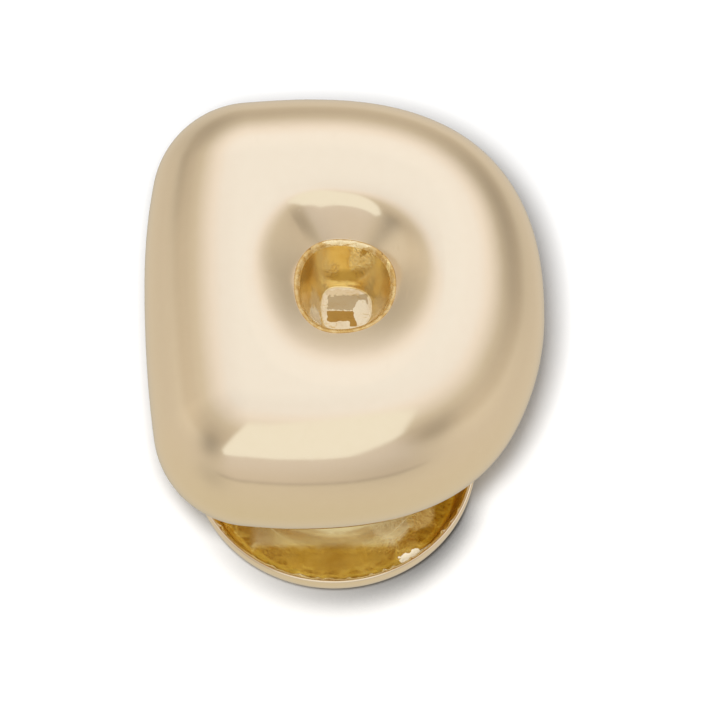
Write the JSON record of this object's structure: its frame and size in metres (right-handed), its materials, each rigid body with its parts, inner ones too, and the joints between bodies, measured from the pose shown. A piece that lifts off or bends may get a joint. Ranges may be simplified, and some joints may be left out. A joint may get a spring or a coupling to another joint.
{
  "type": "initial charm with a stud back",
  "caption": "Puffy metal letter D charm with a sunken blind counter, on a hidden round neck and a shallow dish-shaped stud back.",
  "frame": {"origin": "on the surface that the stud's foot rests on, below the middle of the letter's outline", "axes": "+Z along the letter's face normal, up from the foot of the stud; +Y towards the letter's head; +X towards its round side"},
  "size_m": [0.018, 0.0208, 0.0164],
  "materials": {
    "polished_gold": "polished pale gold plating with a soft satin haze",
    "cast_gold": "unpolished as-cast deep gold, finely crinkled"
  },
  "bodies": {
    "root": {"letter_body": "polished_gold", "neck_post": "cast_gold", "back_dish": "polished_gold"}
  },
  "joints": []
}
